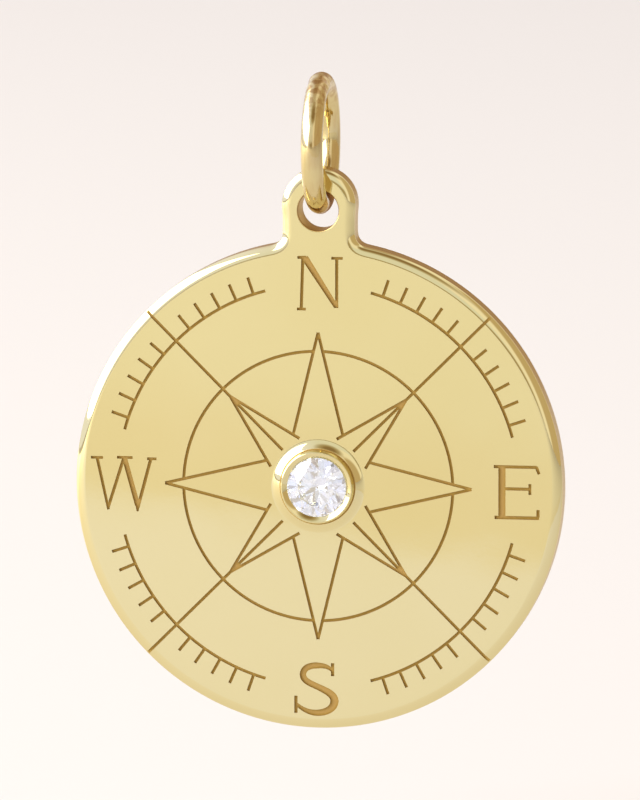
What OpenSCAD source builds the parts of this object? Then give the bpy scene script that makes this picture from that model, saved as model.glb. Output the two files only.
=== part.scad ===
// Compass pendant: an engraved disc with an eye tab and a bezel-set stone, hanging on a jump ring.
// Millimetres, +Z up. The engraved face looks towards -Y, with east towards +X.
// The origin is the inside top of the jump ring, where a chain bears.

/* [Disc] */
// Diameter of the round disc
disc_d = 18; // [17.6:0.1:20]
// Thickness of the disc and of its eye tab
disc_t = 1.3; // [1.2:0.05:1.5]
// Rounding of the back edge
edge_r = 0.35; // [0.2:0.05:0.4]
// Width of the front edge's shallow rounding
edge_w = 0.36; // [0.2:0.02:0.4]
// Depth of the front edge's shallow rounding
edge_d = 0.2; // [0.14:0.02:0.3]

/* [Eye tab] */
// Radius of the tab's round top
tab_r = 1.37; // [1.33:0.01:1.45]
// Diameter of the eye
eye_d = 1.5; // [1.46:0.01:1.6]
// Bevel round both mouths of the eye
eye_bevel = 0.05; // [0.03:0.01:0.08]
// Height of the eye's centre above the disc's rim
eye_rise = 1.16; // [1.1:0.02:1.3]
// Height of the tab's round top above the eye's centre
tab_rise = 0.18; // [0.15:0.01:0.3]
// Radius of the hollow fillets where the tab meets the disc
neck_r = 0.36; // [0.28:0.02:0.4]

/* [Jump ring] */
// Outer diameter of the ring
ring_d = 5.2; // [5:0.1:5.6]
// Diameter of its wire
wire_d = 0.8; // [0.7:0.05:0.8]

/* [Engraving] */
// Width of an engraved line
line_w = 0.11; // [0.08:0.01:0.14]
// Depth of the engraving
line_depth = 0.1; // [0.05:0.01:0.15]
// Radius of the full circle behind the star
circle_r = 4.98; // [4.8:0.02:5.2]
// Radius of the scale's arcs, between the letters
scale_r = 7.43; // [7.2:0.01:7.6]
// Half the angle that each arc of the scale spans
scale_half_angle = 29.8; // [28:0.1:31]
// Length of a tick of the scale
tick_len = 0.65; // [0.5:0.05:0.7]
// Angle from one tick to the next
tick_step = 5.25; // [5:0.05:5.4]
// Ticks on each side of a diagonal
tick_count = 5; // [3:1:5]
// Radius of the star's four long points
long_point_r = 5.67; // [5.3:0.01:6]
// Radius of the star's four short points
short_point_r = 4.6; // [4.2:0.05:4.9]
// Radius of the hollows between the star's points
hollow_r = 2.1; // [2:0.02:2.3]
// Angle from a long point to the hollow beside it
hollow_angle = 26; // [24:0.5:28]
// Radius at which the lines end, outside the bezel
line_start_r = 1.85; // [1.8:0.01:1.95]

/* [Bezel and stone] */
// Height of the bezel's rim above the disc's face
bezel_h = 0.46; // [0.42:0.01:0.5]
// Diameter of the stone's girdle
stone_d = 2.4; // [2.3:0.02:2.44]
// Width of the stone's table, as a share of its girdle
table_share = 0.57; // [0.53:0.01:0.62]
// Diameter of the hole behind the stone
back_hole_d = 1; // [0.6:0.1:1.2]

/* [Hidden] */
$fn = 96;

gold = [0.88, 0.76, 0.46];
diamond = [0.93, 0.93, 0.96];

disc_r = disc_d / 2;
eye_r = eye_d / 2;
wire_r = wire_d / 2;
ring_r = ring_d / 2 - wire_r;
ring_inner_r = ring_r - wire_r;
ring_z = -ring_inner_r;

// The wire curves upwards through the eye, so it bears on the ends of the bore, inside the bevels
bearing_gap = 0.03;
bearing_y = disc_t / 2 - eye_bevel;
eye_z = ring_z - sqrt(pow(ring_inner_r, 2) - pow(bearing_y, 2)) + bearing_gap - eye_r;
disc_z = eye_z - eye_rise - disc_r;
tab_z = eye_z + tab_rise;
face_y = -disc_t / 2;

// The neck is a little narrower than the round top
neck_inset = 0.04;
neck_half = tab_r - neck_inset;
// The fillets stay inside the edge rounding
fillet_inset = 0.12;
edge_steps = 6;
arc_steps = 10;

// A cutter stands proud of the surface that it cuts by this much
over = 0.6;

// Levels over the face, from which the bezel and the stone are worked out
girdle_t = 0.07;
girdle_h = 0.25;
crown_h = 0.33;
pavilion_h = 1.03;
stone_r = stone_d / 2;
table_r = stone_r * table_share;
seat_gap = 0.03;
seat_r = stone_r + seat_gap;
rim_r = stone_r + 0.13;
rim_edge = 0.03;
lip_r = stone_r - 0.11;
rim_inner_r = stone_r + 0.01;
foot_r = stone_r + 0.18;
foot_h = 0.15;
skirt_r = stone_r + 0.52;
bezel_root = 0.3;

N = 0;
E = 1;
S = 2;
W = 3;
// Centres of the letters on the face: across, up
LETTER_PLACES = [
    [0.07, 7.49],
    [7.32, -0.06],
    [-0.08, -7.53],
    [-7.21, -0.05]
];

// Straight strokes of the letters, from each letter's centre, in millimetres
// columns: start x, start y, end x, end y, width at the start, width at the end
N_STROKES = [
    [-0.83, 0.94, -0.50, 0.94, 0.10, 0.13],
    [-0.63, 0.96, -0.69, -0.97, 0.115, 0.115],
    [-0.85, -0.96, -0.52, -0.96, 0.10, 0.10],
    [-0.56, 0.93, 0.60, -0.86, 0.26, 0.17],
    [0.62, 0.93, 0.62, -0.90, 0.115, 0.115],
    [0.42, 0.93, 0.84, 0.93, 0.10, 0.10]
];
E_STROKES = [
    [-0.53, 0.96, -0.53, -0.97, 0.26, 0.26],
    [-0.83, 0.93, 0.75, 0.93, 0.115, 0.115],
    [0.73, 0.95, 0.84, 0.68, 0.12, 0.11],
    [-0.45, 0.12, 0.50, 0.12, 0.115, 0.115],
    [0.50, 0.31, 0.50, -0.09, 0.105, 0.105],
    [-0.80, -0.945, 0.84, -0.945, 0.125, 0.125],
    [0.80, -0.92, 0.80, -0.64, 0.12, 0.115]
];
W_STROKES = [
    [-1.22, 0.94, -0.77, 0.94, 0.10, 0.10],
    [-0.99, 0.94, -0.57, -0.98, 0.115, 0.10],
    [0.00, 0.93, -0.58, -0.90, 0.115, 0.115],
    [-0.25, 0.96, 0.33, 0.96, 0.10, 0.10],
    [0.03, 0.94, 0.51, -0.80, 0.19, 0.19],
    [0.51, -0.70, 0.51, -1.03, 0.19, 0.07],
    [1.01, 0.93, 0.52, -0.90, 0.12, 0.12],
    [0.87, 0.93, 1.22, 0.93, 0.10, 0.10]
];
S_STROKES = [
    [0.62, 0.98, 0.62, 0.50, 0.12, 0.12],
    [-0.74, -0.26, -0.74, -0.90, 0.12, 0.12]
];
// Curved stroke of the S, one smooth curve through these knots
// columns: x, y, run-in handle x, y, run-out handle x, y, width
S_CURVE = [
    [0.60, 0.72, 0.60, 0.72, 0.42, 0.88, 0.13],
    [0.02, 0.88, 0.22, 0.89, -0.26, 0.88, 0.23],
    [-0.48, 0.53, -0.48, 0.76, -0.48, 0.30, 0.24],
    [0.07, 0.09, -0.20, 0.21, 0.40, -0.06, 0.23],
    [0.69, -0.43, 0.69, -0.18, 0.69, -0.70, 0.31],
    [0.02, -0.88, 0.38, -0.88, -0.25, -0.88, 0.23],
    [-0.74, -0.55, -0.52, -0.76, -0.74, -0.55, 0.12]
];
curve_steps = 8;

// Points of an arc about [cx, cy], from angle a0 to angle a1
function arc(cx, cy, r, a0, a1, steps) =
    [for (i = [0:steps]) let (a = a0 + (a1 - a0) * i / steps) [cx + r * cos(a), cy + r * sin(a)]];

function polar(r, a) = [r * sin(a), r * cos(a)];
function bezier(p, q, r, s, t) =
    pow(1 - t, 3) * p + 3 * pow(1 - t, 2) * t * q + 3 * (1 - t) * t * t * r + pow(t, 3) * s;
function bezier_run(p, q, r, s, t) =
    3 * pow(1 - t, 2) * (q - p) + 6 * (1 - t) * t * (r - q) + 3 * t * t * (s - r);
function left_of(v) = [-v[1], v[0]] / norm(v);

// One edge of the curved stroke: side is 1 or -1
function curve_edge(knots, side) = [
    for (k = [0:len(knots) - 2]) for (i = [0:curve_steps - (k < len(knots) - 2 ? 1 : 0)])
        let (
            t = i / curve_steps,
            a = knots[k],
            b = knots[k + 1],
            p = [a[0], a[1]],
            q = [a[4], a[5]],
            r = [b[2], b[3]],
            s = [b[0], b[1]],
            w = a[6] + (b[6] - a[6]) * t
        )
        bezier(p, q, r, s, t) + side * w / 2 * left_of(bezier_run(p, q, r, s, t))
];

function reversed(list) = [for (i = [len(list) - 1:-1:0]) list[i]];

// Half section of a plate with rounded edges: across, then along its thickness, its front edge last
function front_edge(r, t) = [
    for (p = arc(0, 0, 1, 0, 90, edge_steps)) [r - edge_w * (1 - p[0]), t / 2 - edge_d * (1 - p[1])]
];
function back_edge(r, t) = arc(r - edge_r, -t / 2 + edge_r, edge_r, -90, 0, edge_steps);
function plate_half(r, t) = concat([[0, -t / 2]], back_edge(r, t), front_edge(r, t), [[0, t / 2]]);

// Lays a flat drawing against the front face: its X stays, its Y goes up, its Z comes forward
module on_face() {
    translate([0, face_y, disc_z]) rotate([90, 0, 0]) children();
}

module round_plate(r, z) {
    translate([0, 0, z]) rotate([90, 0, 0]) rotate_extrude() polygon(plate_half(r, disc_t));
}

module neck() {
    half = concat(back_edge(neck_half, disc_t), front_edge(neck_half, disc_t));
    section = concat(
        [for (p = half) [p[0], -p[1]]],
        [for (p = reversed(half)) [-p[0], -p[1]]]
    );
    foot_z = disc_z + disc_r - tab_r;
    translate([0, 0, foot_z]) linear_extrude(height = tab_z - foot_z) polygon(section);
}

// Hollow fillet between the neck's side and the rim, on the side given by 1 or -1
module neck_fillet(side) {
    depth_in = 0.25;
    cx = neck_half + neck_r;
    cz = sqrt(pow(disc_r + neck_r, 2) - pow(cx, 2));
    to_disc = 180 + atan2(cz, cx);
    edge = arc(cx, cz, neck_r, 180, to_disc, arc_steps);
    low = edge[arc_steps] * (disc_r - depth_in) / disc_r;
    outline = concat(edge, [low, [neck_half - depth_in, low[1]], [neck_half - depth_in, cz]]);
    thick = disc_t - 2 * fillet_inset;
    mirror([side < 0 ? 1 : 0, 0, 0])
        translate([0, thick / 2, disc_z])
            rotate([90, 0, 0])
                linear_extrude(height = thick) polygon(outline);
}

module bezel() {
    section = [
        [lip_r - 0.2, -bezel_root],
        [skirt_r, -bezel_root],
        [skirt_r, 0],
        [foot_r, foot_h],
        [rim_r, bezel_h - rim_edge],
        [rim_r - rim_edge, bezel_h],
        [rim_inner_r, bezel_h],
        [lip_r, bezel_h - 0.1],
        [lip_r - 0.2, bezel_h - 0.1]
    ];
    on_face() rotate_extrude() polygon(section);
}

// The bore of the eye with a bevel at each mouth
module eye() {
    half = disc_t / 2;
    section = [
        [0, -half - over],
        [eye_r + eye_bevel + over, -half - over],
        [eye_r, -half + eye_bevel],
        [eye_r, half - eye_bevel],
        [eye_r + eye_bevel + over, half + over],
        [0, half + over]
    ];
    translate([0, 0, eye_z]) rotate([90, 0, 0]) rotate_extrude() polygon(section);
}

// Room for the stone: opening, ledge over the girdle, seat and the hole through to the back
module stone_seat() {
    slope = pavilion_h / stone_r;
    girdle_low = girdle_h - girdle_t - 0.025;
    hole_r = back_hole_d / 2;
    section = [
        [0, bezel_h + over],
        [lip_r, bezel_h + over],
        [lip_r, girdle_h + 0.095],
        [seat_r, girdle_h + 0.02],
        [seat_r, girdle_low],
        [hole_r, girdle_low - (seat_r - hole_r) * slope],
        [hole_r, -disc_t - over],
        [0, -disc_t - over]
    ];
    on_face() rotate_extrude() polygon(section);
}

// The cutters below lie on the face: Z is 0 at the face and line_depth deep
module groove(points) {
    translate([0, 0, -line_depth]) linear_extrude(height = line_depth + over) polygon(points);
}

module stroke(a, b, wa, wb) {
    n = left_of(b - a);
    groove([a + n * wa / 2, b + n * wb / 2, b - n * wb / 2, a - n * wa / 2]);
}

module line(a, b) {
    stroke(a, b, line_w, line_w);
}

// Arc groove centred on the up direction, later turned to its diagonal
module arc_groove(r, half_angle) {
    rotate([0, 0, 90 - half_angle])
        rotate_extrude(angle = 2 * half_angle)
            translate([r - line_w / 2, -line_depth])
                square([line_w, line_depth + over]);
}

module letter(which, strokes) {
    translate([LETTER_PLACES[which][0], LETTER_PLACES[which][1], 0])
        for (s = strokes) stroke([s[0], s[1]], [s[2], s[3]], s[4], s[5]);
}

// One quarter of the face, turned about a diagonal that points straight up
module quarter() {
    circle_gap = 2.3;
    hollow = 45 - hollow_angle;
    run_out = 0.27;
    long_tip = polar(long_point_r, 45);
    short_tip = [0, short_point_r];
    arc_groove(circle_r, 45 - circle_gap);
    arc_groove(scale_r, scale_half_angle);
    line([0, line_start_r], [0, disc_r]);
    for (side = [-1, 1]) {
        valley = [side * hollow_r * sin(hollow), hollow_r * cos(hollow)];
        past = valley + (valley - short_tip) / norm(valley - short_tip) * run_out;
        line([side * long_tip[0], long_tip[1]], valley);
        line(short_tip, past);
        for (i = [1:tick_count]) line(polar(scale_r, side * i * tick_step),
            polar(scale_r + tick_len, side * i * tick_step));
    }
}

module engraving() {
    on_face() {
        for (q = [0:3]) rotate([0, 0, -45 - 90 * q]) quarter();
        letter(N, N_STROKES);
        letter(E, E_STROKES);
        letter(W, W_STROKES);
        letter(S, S_STROKES);
        translate([LETTER_PLACES[S][0], LETTER_PLACES[S][1], 0])
            groove(concat(curve_edge(S_CURVE, 1), reversed(curve_edge(S_CURVE, -1))));
    }
}

module medallion() {
    color(gold) difference() {
        union() {
            round_plate(disc_r, disc_z);
            round_plate(tab_r, tab_z);
            neck();
            neck_fillet(1);
            neck_fillet(-1);
            bezel();
        }
        eye();
        stone_seat();
        engraving();
    }
}

// Round brilliant with its table up, its girdle's top edge at height 0
// The rings of corners run from the table down to the culet
module brilliant() {
    star_r = table_r + (stone_r - table_r) * 0.55;
    star_x = star_r * cos(22.5);
    star_z = crown_h * (stone_r - star_x) / (stone_r - table_r);
    low_r = stone_r * 0.24;
    low_z = -girdle_t - pavilion_h * (1 - low_r * cos(22.5) / stone_r);
    function ring(r, z, start, count) =
        [for (i = [0:count - 1]) let (a = start + i * 360 / count) [r * cos(a), r * sin(a), z]];
    corners = concat(
        ring(table_r, crown_h, 0, 8),
        ring(star_r, star_z, 22.5, 8),
        ring(stone_r, 0, 0, 16),
        ring(stone_r, -girdle_t, 0, 16),
        ring(low_r, low_z, 22.5, 8),
        [[0, 0, -girdle_t - pavilion_h]]
    );
    function table(i) = i % 8;
    function star(i) = 8 + i % 8;
    function girdle(i) = 16 + i % 16;
    function under(i) = 32 + i % 16;
    function low(i) = 48 + i % 8;
    culet = 56;
    facets = concat(
        [[for (i = [7:-1:0]) table(i)]],
        [for (i = [0:7]) [table(i), table(i + 1), star(i)]],
        [for (i = [0:7]) [table(i), star(i), girdle(2 * i), star(i + 7)]],
        [for (i = [0:7]) [star(i), girdle(2 * i + 1), girdle(2 * i)]],
        [for (i = [0:7]) [star(i), girdle(2 * i + 2), girdle(2 * i + 1)]],
        [for (i = [0:15]) [girdle(i), girdle(i + 1), under(i + 1), under(i)]],
        [for (i = [0:7]) [low(i), under(2 * i), under(2 * i + 1)]],
        [for (i = [0:7]) [low(i), under(2 * i + 1), under(2 * i + 2)]],
        [for (i = [0:7]) [culet, low(i + 7), under(2 * i), low(i)]]
    );
    polyhedron(corners, facets);
}

module stone() {
    color(diamond) translate([0, face_y - girdle_h, disc_z]) rotate([90, 11.25, 0]) brilliant();
}

module jump_ring() {
    color(gold) translate([0, 0, ring_z]) rotate([0, 90, 0]) rotate_extrude() translate([ring_r, 0]) circle(r = wire_r);
}

medallion();
stone();
jump_ring();
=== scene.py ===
"""A compass pendant in yellow gold: the engraved medallion, its brilliant and its jump ring, hanging free."""
import math

import bmesh
import bpy
import numpy as np
from mathutils import Matrix, Vector, noise
from mathutils.geometry import delaunay_2d_cdt


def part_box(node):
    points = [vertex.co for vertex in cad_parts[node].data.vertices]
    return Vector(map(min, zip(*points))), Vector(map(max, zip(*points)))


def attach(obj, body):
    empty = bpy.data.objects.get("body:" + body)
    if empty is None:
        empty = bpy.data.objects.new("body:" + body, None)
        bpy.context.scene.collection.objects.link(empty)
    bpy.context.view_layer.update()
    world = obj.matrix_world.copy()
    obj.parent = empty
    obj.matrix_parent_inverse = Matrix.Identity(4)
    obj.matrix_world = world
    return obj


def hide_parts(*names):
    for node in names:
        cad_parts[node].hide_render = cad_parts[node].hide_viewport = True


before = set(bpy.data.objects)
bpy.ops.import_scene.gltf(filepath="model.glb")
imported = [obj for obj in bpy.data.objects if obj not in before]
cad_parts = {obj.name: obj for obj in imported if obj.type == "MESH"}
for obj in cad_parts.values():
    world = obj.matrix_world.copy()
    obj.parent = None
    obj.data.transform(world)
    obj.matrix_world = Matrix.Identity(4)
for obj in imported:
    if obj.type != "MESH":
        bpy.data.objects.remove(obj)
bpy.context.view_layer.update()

# Sizes in millimetres. Points on the face are (across, up) from the disc's centre, and a height is measured
# out of the face.
MM = 0.001
medallion_low, medallion_high = (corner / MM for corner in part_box("medallion"))
ring_low, ring_high = (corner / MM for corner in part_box("jump_ring"))

DISC_R = (medallion_high.x - medallion_low.x) / 2
DISC_T = 2 * medallion_high.y
DISC_Z = medallion_low.z + DISC_R
FACE_Y = -DISC_T / 2

# The front edge's section is a superellipse. Its exponent goes from the first number to the second between
# two heights on the face, so the edge starts like a bevel on the disc and is an ellipse on the tab.
EDGE_W = 0.36
EDGE_D = 0.2
EDGE_EXPONENTS = (1.7, 2.0)
EDGE_LEVELS = (DISC_R - 1.2, DISC_R + 0.6)
BACK_ROUND = 0.35

TAB_R = 1.37
TAB_V = medallion_high.z - TAB_R - DISC_Z
EYE_R = 0.75
EYE_V = TAB_V - 0.18
EYE_ROUND = 0.05
NECK_HALF = TAB_R - 0.04
NECK_FILLET = 0.36

BEZEL_H = FACE_Y - medallion_low.y
SKIRT_R = 1.74
SKIRT_H = 0.14
SKIRT_HOLLOW = 1.7
FOOT_R = 1.38
RIM_R = 1.33
RIM_ROUND = 0.05
LIP_R = 1.09
LIP_H = BEZEL_H - 0.115
LIP_ROUND = 0.015
SEAT_R = 1.23
BACK_HOLE_R = 0.5

WIRE_R = (ring_high.x - ring_low.x) / 2
RING_R = (ring_high.z - ring_low.z) / 2 - WIRE_R
RING_Z = (ring_high.z + ring_low.z) / 2

# Patina and painted shade go from 0 for polished gold to 1 beside the walls of an engraved line, where it is
# the metal's own brown. The middle of a wide stroke, the bore of the eye and the side wall have less; on the
# bore and the side wall it is painted shade, and the side's begins a little under the front edge.
STROKE_PATINA = 0.5
STROKE_FADE = 0.1
BORE_PAINTED_SHADE = 0.22
SIDE_PAINTED_SHADE = 0.17
SIDE_PAINTED_SHADE_START = 0.03

# How finely curves are cut, and the angle from which an edge stays crisp
CRISP_ANGLE = math.radians(40)
OUTLINE_POINTS = 660
EDGE_SHARES = (0, 0.05, 0.2, 0.4, 0.6, 0.78, 0.9, 0.975, 1)
BACK_STEPS = 7
EYE_POINTS = 72
EYE_STEPS = 4
BEZEL_POINTS = 128
SKIRT_STEPS = 9


# Outlines

def arc(u, v, r, start, end, steps):
    """Points of an arc about (u, v), between two angles in degrees."""
    angles = np.radians(np.linspace(start, end, steps + 1))
    return np.stack([u + r * np.cos(angles), v + r * np.sin(angles)], axis=1)


def circle(u, v, r, count):
    return arc(u, v, r, 0, 360, count)[:-1]


def evenly(points, count):
    """The closed outline, cut again into pieces of one length."""
    closed = np.vstack([points, points[:1]])
    along = np.concatenate([[0], np.cumsum(np.linalg.norm(np.diff(closed, axis=0), axis=1))])
    stops = np.linspace(0, along[-1], count, endpoint=False)
    return np.stack([np.interp(stops, along, closed[:, i]) for i in (0, 1)], axis=1)


def softened(points, passes):
    """The closed outline with its corners eased, as polishing leaves them."""
    for _ in range(passes):
        points = (np.roll(points, 1, axis=0) + 2 * points + np.roll(points, -1, axis=0)) / 4
    return points


def medallion_outline():
    """The disc, the hollow fillets, the neck and the round top of the tab, anticlockwise from the bottom."""
    fillet_u = NECK_HALF + NECK_FILLET
    fillet_v = math.sqrt((DISC_R + NECK_FILLET) ** 2 - fillet_u**2)
    tangent = math.degrees(math.atan2(fillet_v, fillet_u))
    joint = math.degrees(math.acos(NECK_HALF / TAB_R))
    right = np.concatenate([
        arc(0, 0, DISC_R, -90, tangent, 720),
        arc(fillet_u, fillet_v, NECK_FILLET, 180 + tangent, 180, 24)[1:],
        arc(0, TAB_V, TAB_R, -joint, 90, 90),
    ])
    left = right[-2:0:-1] * (-1, 1)
    return softened(evenly(np.concatenate([right, left]), OUTLINE_POINTS), passes=5)


def outward(points):
    """Unit normals of a closed anticlockwise outline."""
    run = np.roll(points, -1, axis=0) - np.roll(points, 1, axis=0)
    normals = np.stack([run[:, 1], -run[:, 0]], axis=1)
    return normals / np.linalg.norm(normals, axis=1)[:, None]


def segments(loops):
    """Where the segments of closed loops start, and where they end."""
    return np.vstack(loops), np.vstack([np.roll(loop, -1, axis=0) for loop in loops])


def distance_to(lines, points):
    """Shortest distance from each point to the segments, given as (starts, ends)."""
    starts, ends = lines
    runs = ends - starts
    lengths = np.maximum((runs**2).sum(1), 1e-12)
    found = []
    for chunk in np.array_split(points, max(1, len(points) // 500)):
        gaps = chunk[:, None, :] - starts[None]
        share = np.clip((gaps * runs).sum(2) / lengths, 0, 1)
        found.append(np.linalg.norm(gaps - share[..., None] * runs, axis=2).min(1))
    return np.concatenate(found)


def anticlockwise(loop):
    u, v = loop[:, 0], loop[:, 1]
    return loop if (u * np.roll(v, -1) - np.roll(u, -1) * v).sum() > 0 else loop[::-1]


# Engraving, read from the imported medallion

def engraved_floor():
    """Triangles of the engraving's floor as (across, up) points, and how deep it lies."""
    flat_within, level_within = 1e-3, 5e-3
    under_face = FACE_Y + 0.01
    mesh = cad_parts["medallion"].data
    mesh.calc_loop_triangles()
    points = np.array([v.co for v in mesh.vertices]) / MM
    corners = points[np.array([t.vertices for t in mesh.loop_triangles])]
    level = corners[:, :, 1]
    flat = (level.max(1) - level.min(1) < flat_within) & (level.min(1) > under_face) & (level.max(1) < 0)
    ahead = np.cross(corners[:, 1] - corners[:, 0], corners[:, 2] - corners[:, 0])[:, 1] < 0
    common = np.median(level[flat & ahead])
    floor = corners[flat & ahead & (abs(level[:, 0] - common) < level_within)]
    return floor[:, :, [0, 2]] - (0, DISC_Z), float(common - FACE_Y)


def boundary_loops(triangles):
    """Closed loops round the joined triangles. A chord of a circle about the centre is set back on it."""
    edges = {}
    for corner in np.round(triangles, 4):
        names = [tuple(p) for p in corner]
        turn = np.cross(corner[1] - corner[0], corner[2] - corner[0])
        if turn < 0:
            names.reverse()
        for a, b in zip(names, names[1:] + names[:1]):
            edges[(a, b)] = True
    after = {a: b for a, b in edges if (b, a) not in edges}
    loops = []
    while after:
        start, here = next(iter(after.items()))
        del after[start]
        loop = [start]
        while here != start and here in after:
            loop.append(here)
            here = after.pop(here)
        loops.append(np.array(loop))
    return [on_circles(loop) for loop in loops if len(loop) > 2]


def on_circles(loop):
    """The loop, with every long chord of a circle about the centre cut into steps that lie on the circle."""
    long_chord, step, same_radius = 0.3, 0.12, 2e-3
    points = []
    for a, b in zip(loop, np.roll(loop, -1, axis=0)):
        points.append(a)
        ra, rb = np.linalg.norm(a), np.linalg.norm(b)
        length = np.linalg.norm(b - a)
        if length > long_chord and abs(ra - rb) < same_radius:
            start = math.atan2(a[1], a[0])
            sweep = (math.atan2(b[1], b[0]) - start + math.pi) % (2 * math.pi) - math.pi
            count = max(2, round(length / step))
            for i in range(1, count):
                angle = start + sweep * i / count
                points.append(np.array([ra * math.cos(angle), ra * math.sin(angle)]))
    return np.array(points)


def inside_points(triangles, walls, spacing, clear):
    """Grid points inside the triangles that lie further than clear from the walls."""
    found = []
    for a, b, c in triangles:
        low = np.floor(np.min([a, b, c], axis=0) / spacing).astype(int)
        high = np.ceil(np.max([a, b, c], axis=0) / spacing).astype(int)
        columns, rows = range(low[0], high[0] + 1), range(low[1], high[1] + 1)
        grid = np.stack(np.meshgrid(columns, rows), -1).reshape(-1, 2)
        spots = grid * spacing
        sides = [np.cross(q - p, spots - p) for p, q in ((a, b), (b, c), (c, a))]
        within = np.all([s >= 0 for s in sides], axis=0) | np.all([s <= 0 for s in sides], axis=0)
        found.extend(map(tuple, grid[within]))
    spots = np.array(sorted(set(found))) * spacing
    return spots[distance_to(walls, spots) > clear]


# Mesh building

class Shell:
    """Corners and faces of one closed mesh, in millimetres on the face, with each corner's own brown and
    painted shade.
    """

    def __init__(self):
        self.corners = []
        self.patina_and_shade = []
        self.faces = []

    def add(self, points, height, patina_and_shade=0.0):
        """Adds corners and returns their numbers."""
        heights = np.broadcast_to(height, len(points))
        tones = np.broadcast_to(patina_and_shade, len(points))
        first = len(self.corners)
        self.corners += [(u, FACE_Y - h, v + DISC_Z) for (u, v), h in zip(points, heights)]
        self.patina_and_shade += list(tones)
        return list(range(first, len(self.corners)))

    def sweep(self, ring, stages):
        """Joins a closed ring of corners to each (points, height, patina_and_shade) in turn. Returns the last
        ring.
        """
        for points, height, patina_and_shade in stages:
            other = self.add(points, height, patina_and_shade)
            for i in range(len(ring)):
                j = (i + 1) % len(ring)
                self.faces.append((ring[i], ring[j], other[j], other[i]))
            ring = other
        return ring

    def mesh(self, name):
        mesh = bpy.data.meshes.new(name)
        mesh.from_pydata([Vector(c) * MM for c in self.corners], [], self.faces)
        patina_and_shade = mesh.attributes.new("patina_and_shade", "FLOAT", "POINT")
        patina_and_shade.data.foreach_set("value", np.array(self.patina_and_shade, np.float32))
        return mesh


def cleaned(mesh):
    """Takes out unused corners, turns the faces outwards and shades them smooth, with real edges crisp."""
    work = bmesh.new()
    work.from_mesh(mesh)
    bmesh.ops.delete(work, geom=[v for v in work.verts if not v.link_faces], context="VERTS")
    bmesh.ops.recalc_face_normals(work, faces=work.faces)
    work.to_mesh(mesh)
    work.free()
    mesh.polygons.foreach_set("use_smooth", [True] * len(mesh.polygons))
    mesh.set_sharp_from_angle(angle=CRISP_ANGLE)


def keep_flats_flat(mesh):
    """Gives each corner of a face that is square to Y that face's normal, so it mirrors like a true plane."""
    square = 0.99999
    normals = np.zeros((len(mesh.loops), 3), np.float32)
    mesh.corner_normals.foreach_get("vector", normals.ravel())
    flat_way = np.zeros(len(mesh.vertices))
    for face in mesh.polygons:
        if abs(face.normal.y) > square:
            flat_way[list(face.vertices)] = math.copysign(1, face.normal.y)
    corner = np.zeros(len(mesh.loops), np.int32)
    mesh.loops.foreach_get("vertex_index", corner)
    way = flat_way[corner]
    joins = (way != 0) & (normals[:, 1] * way > math.cos(CRISP_ANGLE))
    normals[joins] = np.stack([0 * way, way, 0 * way], axis=1)[joins]
    mesh.normals_split_custom_set([tuple(n) for n in normals])


def placed(mesh):
    piece = bpy.data.objects.new(mesh.name, mesh)
    bpy.context.scene.collection.objects.link(piece)
    return piece


def triangulated(loops, lines, spots):
    """Constrained triangles of closed loops. Returns the corners, the triangles, the loops that each triangle
    lies in, and for each input loop or line the numbers of its corners."""
    to_hull, epsilon = 0, 1e-7
    points = np.vstack(loops + lines + ([spots] if len(spots) else []))
    firsts = np.cumsum([0] + [len(p) for p in loops + lines])
    runs = [list(range(a, b)) for a, b in zip(firsts, firsts[1:])]
    edges = [(run[i], run[(i + 1) % len(run)]) for run in runs[len(loops):] for i in range(len(run))]
    faces = runs[: len(loops)]
    out = delaunay_2d_cdt([Vector(p) for p in points], edges, faces, to_hull, epsilon, True)
    corners, triangles, origins, homes = out[0], out[2], out[3], out[5]
    new = {}
    for number, olds in enumerate(origins):
        for old in olds:
            new[old] = number
    return np.array(corners), triangles, homes, [[new[i] for i in run] for run in runs]


# Sections

def quarter_round(size, steps):
    """(inset, drop) pairs of a quarter circle, from the flat face to the side."""
    turns = np.radians(np.linspace(0, 90, steps + 1))
    return [(size * (1 - math.sin(t)), size * (1 - math.cos(t))) for t in turns]


def edge_drop(inset, v):
    """How far the front edge lies under the face, at a distance in from the outline and a height on it."""
    share = np.clip(1 - inset / EDGE_W, 0, 1)
    exponent = np.interp(v, EDGE_LEVELS, EDGE_EXPONENTS)
    return EDGE_D * (1 - (1 - share**exponent) ** (1 / exponent))


def bezel_profile():
    """(radius, height, painted shade) from the face up the hollow skirt, over the rim and through to the
    back.
    """
    skirt_top = FOOT_R + 0.03
    steps = np.linspace(0, 1, SKIRT_STEPS + 1)[1:]
    skirt = [(SKIRT_R + (skirt_top - SKIRT_R) * x, SKIRT_H * x**SKIRT_HOLLOW, 0) for x in steps]
    # Painted shade: the crease at the foot of the rim and the foot of the wall are a dark brown ring.
    crease = [(FOOT_R + 0.02, 0.143, 0.6), (FOOT_R + 0.004, 0.146, 0.95)]
    wall = [(FOOT_R - 0.01, 0.17, 0.9), (FOOT_R - 0.016, 0.22, 0.5), (FOOT_R - 0.02, 0.26, 0)]
    rim = [(r, h, 0) for r, h in arc(RIM_R - RIM_ROUND, BEZEL_H - RIM_ROUND, RIM_ROUND, 8, 112, 7)]
    lip = [(r, h, 0) for r, h in arc(LIP_R + LIP_ROUND, LIP_H, LIP_ROUND, 118, 230, 5)]
    stone_room = [(SEAT_R, 0.27, 0), (SEAT_R, 0.155, 0), (BACK_HOLE_R, -0.471, 0)]
    back = [
        (BACK_HOLE_R, -DISC_T + 0.04, 0),
        (BACK_HOLE_R + 0.02, -DISC_T + 0.01, 0),
        (BACK_HOLE_R + 0.05, -DISC_T, 0),
    ]
    return skirt + crease + wall + rim + lip + stone_room + back


# Pieces

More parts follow.
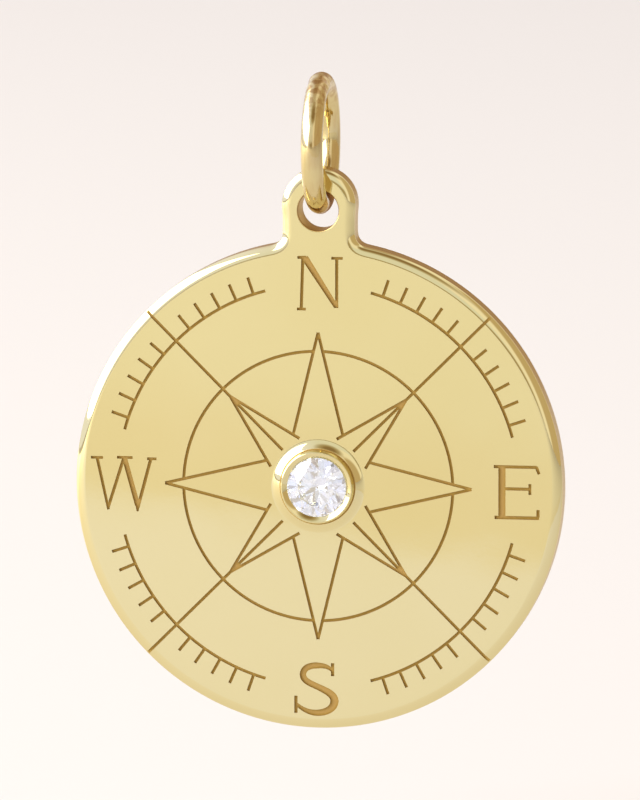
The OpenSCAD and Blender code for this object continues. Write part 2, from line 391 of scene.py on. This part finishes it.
def front_sheet(shell, outline):
    """The front as one sheet of triangles with the engraving let into it. Returns the corners of its rim, of
    the eye and of the bezel's foot."""
    normals = outward(outline)
    rings = [outline - normals * EDGE_W * (1 - share) for share in EDGE_SHARES]
    eye = circle(0, EYE_V, EYE_R + EYE_ROUND, EYE_POINTS)
    collar = circle(0, 0, SKIRT_R, BEZEL_POINTS)
    floor, depth = engraved_floor()
    grooves = boundary_loops(floor)
    walls = segments(grooves)
    spots = inside_points(floor, walls, spacing=0.045, clear=0.06)

    loops = [rings[-1], eye, collar] + [anticlockwise(groove) for groove in grooves]
    points, triangles, homes, runs = triangulated(loops, rings[:-1], spots)
    metal = [0 in home and 1 not in home and 2 not in home for home in homes]
    engraved = [sum(1 for i in home if i > 2) % 2 == 1 for home in homes]

    drops = edge_drop(distance_to(segments([outline]), points), points[:, 1])
    tones = 1 - (1 - STROKE_PATINA) * np.clip(distance_to(walls, points) / STROKE_FADE, 0, 1)
    top = shell.add(points, -drops)
    bottom = shell.add(points, -np.maximum(drops, depth), tones)
    sides = {}
    for triangle, keep, sunk in zip(triangles, metal, engraved):
        if not keep:
            continue
        level = bottom if sunk else top
        shell.faces.append(tuple(level[i] for i in triangle))
        for a, b in zip(triangle, triangle[1:] + triangle[:1]):
            sides.setdefault(frozenset((a, b)), set()).add(sunk)
    for edge, kinds in sides.items():
        if len(kinds) == 2:
            a, b = edge
            shell.faces.append((top[a], top[b], bottom[b], bottom[a]))
    return [[top[i] for i in run] for run in runs[:3]]


def side_stages(outline):
    """The side wall and the back's rounding."""
    normals = outward(outline)
    # Painted shade: the side wall and the back's rounding are tan, from a little under the front edge to the
    # flat back.
    stages = [(outline, -EDGE_D - SIDE_PAINTED_SHADE_START, SIDE_PAINTED_SHADE)]
    for inset, drop in reversed(quarter_round(BACK_ROUND, BACK_STEPS)):
        stages.append((outline - normals * inset, -DISC_T + drop, SIDE_PAINTED_SHADE * (drop > 0)))
    return stages


def eye_stages():
    """The bore of the eye, with both its mouths eased."""
    mouth = quarter_round(EYE_ROUND, EYE_STEPS)
    sections = [(EYE_R + inset, -drop) for inset, drop in mouth[1:]]
    sections += [(EYE_R + inset, -DISC_T + drop) for inset, drop in reversed(mouth)]
    # Painted shade: the whole bore is a light brown.
    return [(circle(0, EYE_V, r, EYE_POINTS), height, BORE_PAINTED_SHADE) for r, height in sections]


def bezel_stages():
    """The bezel, its seat and the hole behind the stone."""
    return [(circle(0, 0, r, BEZEL_POINTS), height, patina_and_shade) for r, height, patina_and_shade in bezel_profile()]


def flat_back(shell, rings):
    """The back, inside its outer ring and outside the others."""
    flat = [np.array([(shell.corners[i][0], shell.corners[i][2] - DISC_Z) for i in ring]) for ring in rings]
    _, triangles, homes, runs = triangulated(flat, [], [])
    known = {new: old for run, ring in zip(runs, rings) for new, old in zip(run, ring)}
    for triangle, home in zip(triangles, homes):
        if list(home) == [0]:
            shell.faces.append(tuple(known[i] for i in triangle))


def medallion():
    shell = Shell()
    outline = medallion_outline()
    rim, eye, collar = front_sheet(shell, outline)
    back_rim = shell.sweep(rim, side_stages(outline))
    back_eye = shell.sweep(eye, eye_stages())
    back_hole = shell.sweep(collar, bezel_stages())
    flat_back(shell, [back_rim, back_eye, back_hole])
    mesh = shell.mesh("medallion_gold")
    cleaned(mesh)
    keep_flats_flat(mesh)
    return placed(mesh)


def jump_ring():
    """The wire ring, with the low swelling of its solder joint near the top."""
    around, across = 224, 36
    joint_angle, joint_half = math.radians(74), math.radians(13)
    swelling = 0.004
    lump_scale, lump_height = 3.4, 0.05
    hand_scale, hand_height = 0.8, 0.008
    corners, faces = [], []
    for i in range(around):
        angle = 2 * math.pi * i / around
        away = (angle - joint_angle + math.pi) % (2 * math.pi) - math.pi
        swell = math.exp(-((away / joint_half) ** 2))
        middle = Vector((0, -RING_R * math.cos(angle), RING_Z + RING_R * math.sin(angle)))
        after_i = (i + 1) % around
        for j in range(across):
            turn = 2 * math.pi * j / across
            forward = -math.cos(turn) * math.cos(angle)
            up = math.cos(turn) * math.sin(angle)
            out = Vector((math.sin(turn), forward, up))
            surface = middle + out * WIRE_R
            lump = noise.noise(surface * lump_scale) * lump_height * swell
            hand = noise.noise(surface * hand_scale) * hand_height
            corners.append((middle + out * (WIRE_R + swelling * swell + lump + hand)) * MM)
            after_j = (j + 1) % across
            faces.append((
                i * across + j,
                after_i * across + j,
                after_i * across + after_j,
                i * across + after_j,
            ))
    mesh = bpy.data.meshes.new("jump_ring_gold")
    mesh.from_pydata(corners, [], faces)
    cleaned(mesh)
    return placed(mesh)


# Node trees

# The colours of a mask where it lets through and where it doesn't
ON = (1.0, 1.0, 1.0)
OFF = (0.0, 0.0, 0.0)


def material(name):
    made = bpy.data.materials.new(name)
    made.use_nodes = True
    tree = made.node_tree
    return made, tree, tree.nodes["Principled BSDF"]


def node(tree, kind, inputs=(), **settings):
    made = tree.nodes.new(kind)
    for key, value in settings.items():
        setattr(made, key, value)
    for key, value in dict(inputs).items():
        if isinstance(value, bpy.types.NodeSocket):
            tree.links.new(value, made.inputs[key])
        else:
            made.inputs[key].default_value = value
    return made


def object_place(tree):
    return node(tree, "ShaderNodeTexCoord").outputs["Object"]


def split(tree, vector):
    return node(tree, "ShaderNodeSeparateXYZ", {"Vector": vector}).outputs


def math_of(tree, operation, *values):
    return node(tree, "ShaderNodeMath", dict(enumerate(values)), operation=operation).outputs["Value"]


def mapped(tree, value, source, target=(0.0, 1.0)):
    """The value, moved from one range to another and kept within it."""
    inputs = {
        "Value": value,
        "From Min": source[0],
        "From Max": source[1],
        "To Min": target[0],
        "To Max": target[1],
    }
    return node(tree, "ShaderNodeMapRange", inputs).outputs["Result"]


def mixed(tree, share, first, second):
    """From the first colour to the second, by the share."""
    inputs = {"Factor": share, "A": first, "B": second}
    return node(tree, "ShaderNodeMix", inputs, data_type="RGBA").outputs["Result"]


def ramp(tree, value, *stops):
    """A colour ramp through (position, red, green, blue) stops."""
    made = node(tree, "ShaderNodeValToRGB", {"Fac": value})
    points = made.color_ramp.elements
    while len(points) < len(stops):
        points.new(0.5)
    for point, (position, *colour) in zip(points, stops):
        point.position = position
        point.color = (*colour, 1)
    return made.outputs["Color"]


def noise_of(tree, place, scale, detail):
    inputs = {"Vector": place, "Scale": scale, "Detail": detail}
    return node(tree, "ShaderNodeTexNoise", inputs).outputs["Fac"]


# Materials

def uneven(tree, shader, place, wave, grain):
    """Polish that isn't quite flat: slow waves and a fine grain, each given as (width, depth) in metres."""
    slow = noise_of(tree, place, 1 / wave[0], 1.0)
    fine = noise_of(tree, place, 1 / grain[0], 3.0)
    wavy = node(tree, "ShaderNodeBump", {"Height": slow, "Strength": 1.0, "Distance": wave[1]})
    grainy = node(tree, "ShaderNodeBump", {"Height": fine, "Strength": 1.0, "Distance": grain[1]})
    tree.links.new(wavy.outputs["Normal"], grainy.inputs["Normal"])
    tree.links.new(grainy.outputs["Normal"], shader.inputs["Normal"])


def engraved_gold():
    """Polished gold with faint clouds. It goes brown and dull where the mesh says: in the engraving, and
    where shade is painted.
    """
    made, tree, shader = material("engraved_gold")
    place = object_place(tree)
    patina_and_shade = node(tree, "ShaderNodeAttribute", attribute_name="patina_and_shade").outputs["Fac"]
    # sunk is the brown share: the metal's own brown in the engraving, and painted shade on the bezel's
    # crease, the eye's bore and the side wall.
    sunk = mapped(tree, patina_and_shade, (0.02, 0.3))

    clouds = noise_of(tree, place, 160.0, 3.0)
    polished = ramp(tree, clouds, (0.35, 0.838, 0.748, 0.398), (0.65, 0.853, 0.765, 0.422))
    streaks = noise_of(tree, place, 2600.0, 3.0)
    tarnish_and_shade = math_of(tree, "ADD", patina_and_shade, mapped(tree, streaks, (0.0, 1.0), (-0.16, 0.16)))
    brown = ramp(tree, tarnish_and_shade, (0.3, 0.60, 0.40, 0.16), (0.5, 0.52, 0.34, 0.108), (0.95, 0.435, 0.285, 0.07))

    tree.links.new(mixed(tree, sunk, polished, brown), shader.inputs["Base Color"])
    tree.links.new(mixed(tree, sunk, (1, 1, 1, 1), (0.66, 0.5, 0.28, 1)), shader.inputs["Specular Tint"])
    tree.links.new(mapped(tree, sunk, (0.0, 1.0), (0.035, 0.42)), shader.inputs["Roughness"])
    tree.links.new(mapped(tree, patina_and_shade, (0.3, 0.5), (1.0, 0.35)), shader.inputs["Metallic"])
    uneven(tree, shader, place, wave=(0.0028, 0.000004), grain=(0.00018, 0.0000001))
    return made


def wire_gold():
    """Polished gold wire, mottled where it was soldered near the top, with painted brown shade inside the
    eye.
    """
    made, tree, shader = material("wire_gold")
    place = object_place(tree)
    axes = split(tree, place)
    joint = mapped(tree, axes["Z"], (-0.0007, 0.0003))
    depth = mapped(tree, axes["Y"], (-0.001, 0.001))
    in_bore = ramp(tree, depth, (0.12, *OFF), (0.34, *ON), (0.78, *ON), (0.92, *OFF))
    # Painted shade: the ring is brown and duller where it lies in the eye's bore.
    painted_eye_shade = math_of(tree, "MULTIPLY", in_bore, mapped(tree, axes["Z"], (-0.0031, -0.0036)))

    drawn = node(tree, "ShaderNodeMapping", {"Vector": place, "Scale": (3.0, 0.6, 0.6)}).outputs["Vector"]
    worn = noise_of(tree, drawn, 1500.0, 3.0)
    bare = ramp(tree, worn, (0.4, 0.78, 0.665, 0.345), (0.62, 0.71, 0.565, 0.285))
    blotches = mapped(tree, noise_of(tree, place, 3200.0, 4.0), (0.46, 0.56))
    solder = math_of(tree, "MULTIPLY", joint, blotches)
    soldered = mixed(tree, solder, bare, (0.52, 0.34, 0.14, 1))
    rough = math_of(tree, "MULTIPLY_ADD", painted_eye_shade, 0.25, 0.1)

    tree.links.new(mixed(tree, painted_eye_shade, soldered, (0.46, 0.27, 0.1, 1)), shader.inputs["Base Color"])
    tree.links.new(mixed(tree, painted_eye_shade, (1, 1, 1, 1), (0.5, 0.3, 0.12, 1)), shader.inputs["Specular Tint"])
    tree.links.new(math_of(tree, "MULTIPLY_ADD", joint, 0.16, rough), shader.inputs["Roughness"])
    tree.links.new(mapped(tree, painted_eye_shade, (0.0, 1.0), (1.0, 0.75)), shader.inputs["Metallic"])
    uneven(tree, shader, place, wave=(0.0009, 0.000016), grain=(0.00016, 0.0000025))
    return made


def diamond():
    made, _, shader = material("diamond")
    shader.inputs["Base Color"].default_value = (0.88, 0.92, 1, 1)
    shader.inputs["Roughness"].default_value = 0.0
    shader.inputs["IOR"].default_value = 2.42
    shader.inputs["Transmission Weight"].default_value = 1.0
    # Painted light: a faint bluish glow that brightens the stone.
    shader.inputs["Emission Color"].default_value = (0.7, 0.76, 1, 1)
    shader.inputs["Emission Strength"].default_value = 0.042
    return made


def dressed(piece, finish):
    piece.data.materials.clear()
    piece.data.materials.append(finish)
    return piece


# Stage, lights and camera, in metres

def stage_floor(z):
    """A pale floor. In front of the pendant one sheet of paper ends and a warmer one begins, so the polished
    face shows a faint horizon."""
    half = 1.5
    corners = [(-half, -half, z), (half, -half, z), (half, half, z), (-half, half, z)]
    mesh = bpy.data.meshes.new("floor")
    mesh.from_pydata(corners, [], [(0, 1, 2, 3)])
    floor = placed(mesh)
    made, tree, shader = material("floor_paper")
    place = object_place(tree)
    axes = split(tree, place)
    away = math_of(tree, "SUBTRACT", math_of(tree, "MULTIPLY", axes["X"], 0.725), axes["Y"])
    swayed = math_of(tree, "MULTIPLY_ADD", noise_of(tree, place, 26.0, 1.0), 0.02, away)
    paper = ramp(
        tree,
        mapped(tree, swayed, (-0.5, 0.5)),
        (0.3, 0.81, 0.82, 0.83),
        (0.42, 0.67, 0.64, 0.58),
        (0.74, 0.66, 0.68, 0.76),
        (0.76, 0.66, 0.68, 0.76),
        (0.77, 0.625, 0.604, 0.53),
        (0.79, 0.63, 0.612, 0.555),
        (0.825, 0.64, 0.645, 0.62),
    )
    tree.links.new(paper, shader.inputs["Base Color"])
    shader.inputs["Roughness"].default_value = 0.9
    floor.data.materials.append(made)


def softbox(name, towards, distance, width, height, radiance, colour):
    """A soft rectangular light that looks at the disc's centre, as bright all over as radiance. Its height
    runs as near to the Y axis as that allows."""
    light = bpy.data.lights.new(name, "AREA")
    light.shape = "RECTANGLE"
    light.size = width
    light.size_y = height
    light.energy = radiance * math.pi * width * height
    light.color = colour
    lamp = bpy.data.objects.new(name, light)
    way = Vector(towards).normalized()
    lamp.location = way * distance + Vector((0, 0, DISC_Z * MM))
    lamp.rotation_mode = "QUATERNION"
    side = Vector((0, 1, 0)).cross(way).normalized()
    lamp.rotation_quaternion = Matrix((side, way.cross(side), way)).transposed().to_quaternion()
    lamp.visible_camera = False
    bpy.context.scene.collection.objects.link(lamp)


def surroundings():
    """A plain studio: pale ahead of the pendant and on its left, cream and then tan on its right, and brown
    behind it. It is dim low ahead, and has one small dark shade high ahead."""
    world = bpy.data.worlds.new("studio")
    world.use_nodes = True
    tree = world.node_tree
    way = node(tree, "ShaderNodeTexCoord").outputs["Generated"]
    axes = split(tree, way)
    depth = mapped(tree, axes["Y"], (-1.0, 1.0))
    room = ramp(
        tree,
        depth,
        (0.0, 0.84, 0.84, 0.84),
        (0.3, 0.78, 0.76, 0.72),
        (0.55, 0.54, 0.40, 0.27),
        (1.0, 0.50, 0.35, 0.22),
    )
    low = ramp(tree, axes["Z"], (0.0, *ON), (0.06, *ON), (0.15, *OFF))
    ahead = ramp(tree, depth, (0.1, *ON), (0.35, *OFF))
    low_ahead = mixed(tree, ahead, (0, 0, 0, 1), low)
    room = mixed(tree, low_ahead, room, (0.45, 0.36, 0.22, 1))
    room = mixed(tree, mapped(tree, axes["X"], (-0.15, -0.5)), room, (0.98, 0.98, 1.2, 1))
    right_side = ramp(tree, axes["X"], (0.46, 1.0, 0.92, 0.84), (0.58, 0.6, 0.46, 0.29))
    room = mixed(tree, mapped(tree, axes["X"], (0.18, 0.3)), room, right_side)

    shade_way = (0.16, -0.55, 0.82)
    facing = node(tree, "ShaderNodeVectorMath", {0: way, 1: shade_way}, operation="DOT_PRODUCT")
    shade_mask = ramp(tree, facing.outputs["Value"], (0.91, *OFF), (0.97, *ON))
    shade = ramp(tree, facing.outputs["Value"], (0.975, 0.44, 0.34, 0.2), (0.99, 0.3, 0.2, 0.1))
    tree.links.new(mixed(tree, shade_mask, room, shade), tree.nodes["Background"].inputs["Color"])
    bpy.context.scene.world = world


def photo_camera():
    """The photograph's view: 640 by 800, almost without perspective, from the right and a little above."""
    azimuth, elevation = math.radians(8.6), math.radians(8.0)
    px_per_mm = 27.28
    height_px = 800
    distance = 400.0
    centre_px = (320.0, 400.0)
    disc_px = (320.7, 483.5)
    level = math.cos(elevation)
    back = Vector((math.sin(azimuth) * level, -math.cos(azimuth) * level, math.sin(elevation)))
    across = Vector((math.cos(azimuth), math.sin(azimuth), 0))
    up = back.cross(across)
    shift = across * (centre_px[0] - disc_px[0]) + up * (disc_px[1] - centre_px[1])
    aim = Vector((0, 0, DISC_Z)) + shift / px_per_mm
    data = bpy.data.cameras.new("camera")
    data.sensor_width = 36.0
    data.lens = data.sensor_width * distance * px_per_mm / height_px
    data.clip_start = 0.01
    data.clip_end = 5.0
    camera = bpy.data.objects.new("camera", data)
    camera.location = (aim + back * distance) * MM
    camera.rotation_mode = "QUATERNION"
    camera.rotation_quaternion = back.to_track_quat("Z", "Y")
    bpy.context.scene.collection.objects.link(camera)
    bpy.context.scene.camera = camera


# The scene

photo_camera()
stage_floor(z=-0.06)
surroundings()
softbox(
    "key",
    towards=(-0.876, -0.27, 0.466),
    distance=0.8,
    width=0.65,
    height=1.5,
    radiance=4.0,
    colour=(1, 0.95, 0.84),
)
bpy.context.scene.view_settings.view_transform = "Standard"
bpy.context.scene.cycles.transmission_bounces = 16
bpy.context.scene.cycles.max_bounces = 20
bpy.context.scene.cycles.glossy_bounces = 8

medallion_piece = dressed(medallion(), engraved_gold())
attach(medallion_piece, "pendant")
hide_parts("medallion")

ring_piece = dressed(jump_ring(), wire_gold())
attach(ring_piece, "ring")
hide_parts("jump_ring")

dressed(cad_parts["stone"], diamond())
